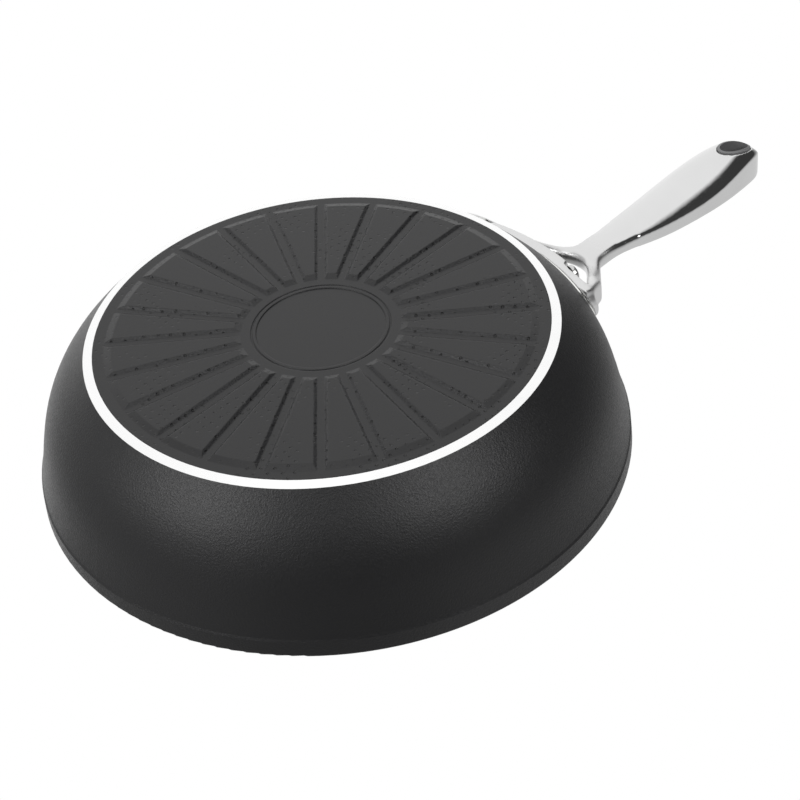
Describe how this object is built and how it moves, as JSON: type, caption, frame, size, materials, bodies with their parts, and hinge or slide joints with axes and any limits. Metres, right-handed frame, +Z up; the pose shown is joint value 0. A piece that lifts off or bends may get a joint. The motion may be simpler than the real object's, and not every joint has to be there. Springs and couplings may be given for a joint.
{
  "type": "frying pan",
  "caption": "Deep flared frying pan with a padded induction base, a bright turned base ring and a riveted forked cast handle with a lined hanging eye.",
  "frame": {"origin": "centre of the base, on the plane of the pad tops that the pan rests on", "axes": "+Z up out of the bowl, +X along the handle from the pan's axis to the handle's end"},
  "size_m": [0.473, 0.3, 0.076],
  "materials": {
    "coated_body": "fine textured black nonstick coating on forged aluminium, matte with a soft sheen",
    "nonstick": "smooth satin black fluoropolymer cooking surface",
    "turned_aluminium": "bright turned",
    "coated_base_steel": "dark satin coating over pressed steel",
    "polished_steel": "polished casting",
    "shim_steel": "bright rolled sheet",
    "rivet_steel": "satin headed",
    "black_liner": "matte moulded"
  },
  "bodies": {
    "root": {"pan_body": "coated_body", "nonstick_lining": "nonstick", "heat_spreader_disc": "turned_aluminium", "induction_base_plate": "coated_base_steel", "handle_casting": "polished_steel", "handle_shim": "shim_steel", "handle_rivets": "rivet_steel", "hanging_eye_liner": "black_liner"}
  },
  "joints": []
}
